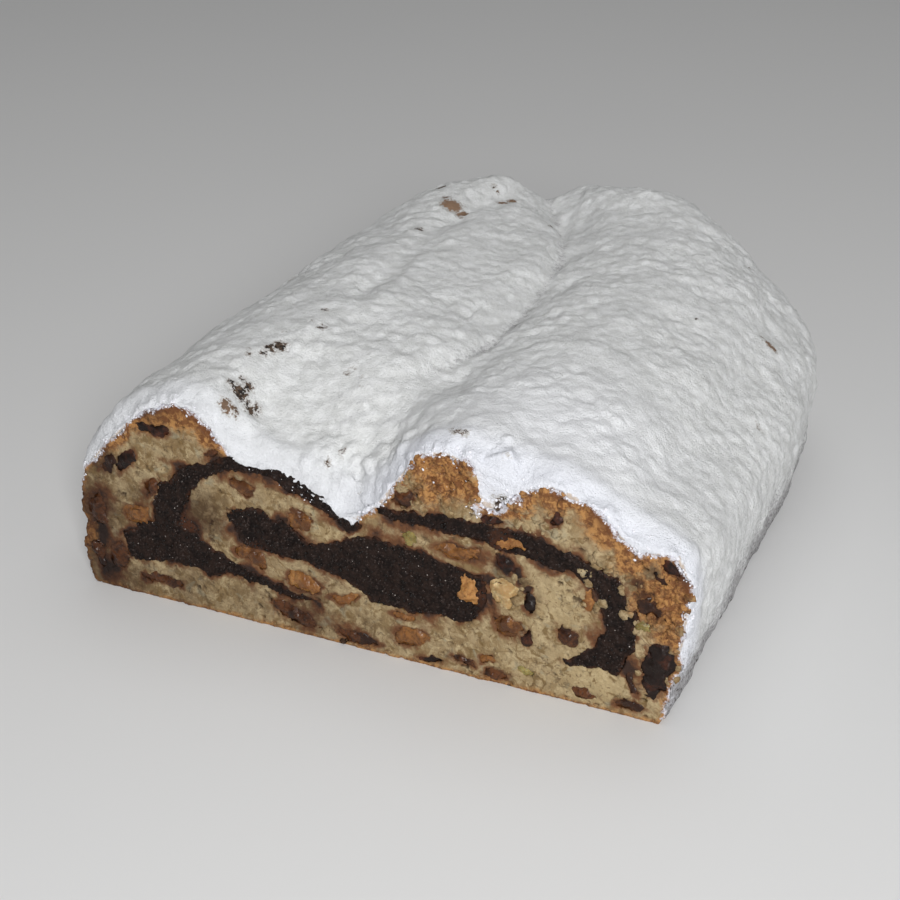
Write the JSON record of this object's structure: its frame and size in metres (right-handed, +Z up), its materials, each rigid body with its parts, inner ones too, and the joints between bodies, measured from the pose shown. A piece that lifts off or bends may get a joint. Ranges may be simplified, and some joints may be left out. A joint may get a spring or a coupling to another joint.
{
  "type": "stollen",
  "caption": "Half of a poppy-seed stollen, cut across, with raisins and candied peel in the crumb, under a thick coat of icing sugar.",
  "frame": {"origin": "middle of the flat bottom, on the surface that the loaf stands on", "axes": "+Y along the loaf from the cut to its round end, +X to the right as the cut is seen, +Z up"},
  "size_m": [0.152, 0.1799, 0.0597],
  "materials": {
    "dough": "baked crumb, tan and matt, with a browned crust",
    "sugar": "icing sugar, white and powdery",
    "poppy": "ground poppy seed paste, near black, grainy and moist",
    "raisin_dark": "dark raisin, wrinkled and slightly glossy",
    "raisin_red": "red-brown raisin, moist and glossy",
    "sultana": "amber sultana, moist and glossy",
    "orange_peel": "candied orange peel, glassy",
    "citron": "candied citron, glassy",
    "almond": "cut almond, pale and dull"
  },
  "bodies": {
    "root": {"almond_01": "almond", "citron_01": "citron", "citron_02": "citron", "citron_03": "citron", "dough": "dough", "orange_peel_01": "orange_peel", "orange_peel_02": "orange_peel", "orange_peel_03": "orange_peel", "orange_peel_04": "orange_peel", "orange_peel_05": "orange_peel", "poppy_core": "poppy", "poppy_fold_left": "poppy", "poppy_fold_right": "poppy", "raisin_dark_01": "raisin_dark", "raisin_dark_02": "raisin_dark", "raisin_dark_03": "raisin_dark", "raisin_dark_04": "raisin_dark", "raisin_dark_05": "raisin_dark", "raisin_dark_06": "raisin_dark", "raisin_dark_07": "raisin_dark", "raisin_dark_08": "raisin_dark", "raisin_dark_09": "raisin_dark", "raisin_dark_10": "raisin_dark", "raisin_dark_11": "raisin_dark", "raisin_red_01": "raisin_red", "raisin_red_02": "raisin_red", "raisin_red_03": "raisin_red", "raisin_red_04": "raisin_red", "raisin_red_05": "raisin_red", "raisin_red_06": "raisin_red", "raisin_red_07": "raisin_red", "raisin_red_08": "raisin_red", "raisin_red_09": "raisin_red", "raisin_red_10": "raisin_red", "raisin_red_11": "raisin_red", "raisin_red_12": "raisin_red", "raisin_red_13": "raisin_red", "raisin_red_14": "raisin_red", "raisin_red_15": "raisin_red", "raisin_red_16": "raisin_red", "raisin_red_17": "raisin_red", "sugar_coat": "sugar", "sultana_01": "sultana", "sultana_02": "sultana", "sultana_03": "sultana", "sultana_04": "sultana", "sultana_05": "sultana", "sultana_06": "sultana", "sultana_07": "sultana", "sultana_08": "sultana", "sultana_09": "sultana"}
  },
  "joints": []
}
